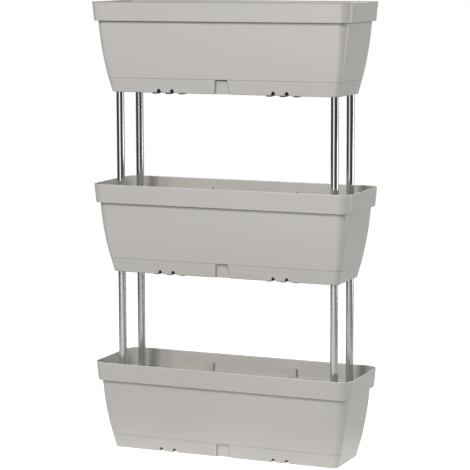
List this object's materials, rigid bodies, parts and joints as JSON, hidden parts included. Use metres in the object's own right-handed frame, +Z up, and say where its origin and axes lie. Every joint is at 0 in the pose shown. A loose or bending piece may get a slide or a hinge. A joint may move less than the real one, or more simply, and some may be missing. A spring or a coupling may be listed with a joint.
{
  "type": "modular vertical planter",
  "caption": "Free-standing tiered planter: long tapered troughs with clip-on water trays, stacked on round steel tubes that plug onto spigots in the trough floors.",
  "frame": {"origin": "on the ground under the middle of the stack", "axes": "+Z up, +X along the troughs to the viewer's right, -Y is the front, with the recess in the trays' front wall"},
  "size_m": [0.6, 0.194, 0.986],
  "materials": {
    "trough_plastic": "satin moulded polypropylene, warm light grey",
    "tray_plastic": "satin moulded polypropylene, warm light grey",
    "spigot_plastic": "satin moulded polypropylene, grey",
    "zinc_lower": "dull zinc-plated steel tube",
    "zinc_middle": "bright zinc-plated steel tube"
  },
  "bodies": {
    "base_tray": {"tray_lower": "tray_plastic"},
    "lower_module": {"trough_lower": "trough_plastic", "spigot_lower_front_left": "spigot_plastic", "spigot_lower_front_right": "spigot_plastic", "spigot_lower_back_left": "spigot_plastic", "spigot_lower_back_right": "spigot_plastic", "tube_lower_front_left": "zinc_lower", "tube_lower_front_right": "zinc_lower", "tube_lower_back_left": "zinc_lower", "tube_lower_back_right": "zinc_lower"},
    "middle_module": {"trough_middle": "trough_plastic", "spigot_middle_front_left": "spigot_plastic", "spigot_middle_front_right": "spigot_plastic", "spigot_middle_back_left": "spigot_plastic", "spigot_middle_back_right": "spigot_plastic", "tube_middle_front_left": "zinc_middle", "tube_middle_front_right": "zinc_middle", "tube_middle_back_left": "zinc_middle", "tube_middle_back_right": "zinc_middle"},
    "middle_tray": {"tray_middle": "tray_plastic"},
    "upper_module": {"trough_upper": "trough_plastic", "spigot_upper_front_left": "spigot_plastic", "spigot_upper_front_right": "spigot_plastic", "spigot_upper_back_left": "spigot_plastic", "spigot_upper_back_right": "spigot_plastic"},
    "upper_tray": {"tray_upper": "tray_plastic"}
  },
  "joints": [
    {"name": "lower_lift", "type": "slide", "parent": "base_tray", "child": "lower_module", "axis": [0, 0, 1], "range_m": [0, 0.05]},
    {"name": "middle_lift", "type": "slide", "parent": "lower_module", "child": "middle_module", "axis": [0, 0, 1], "range_m": [0, 0.07]},
    {"name": "middle_tray_drop", "type": "slide", "parent": "middle_module", "child": "middle_tray", "axis": [0, 0, -1], "range_m": [0, 0.06]},
    {"name": "upper_lift", "type": "slide", "parent": "middle_module", "child": "upper_module", "axis": [0, 0, 1], "range_m": [0, 0.07]},
    {"name": "upper_tray_drop", "type": "slide", "parent": "upper_module", "child": "upper_tray", "axis": [0, 0, -1], "range_m": [0, 0.06]}
  ]
}
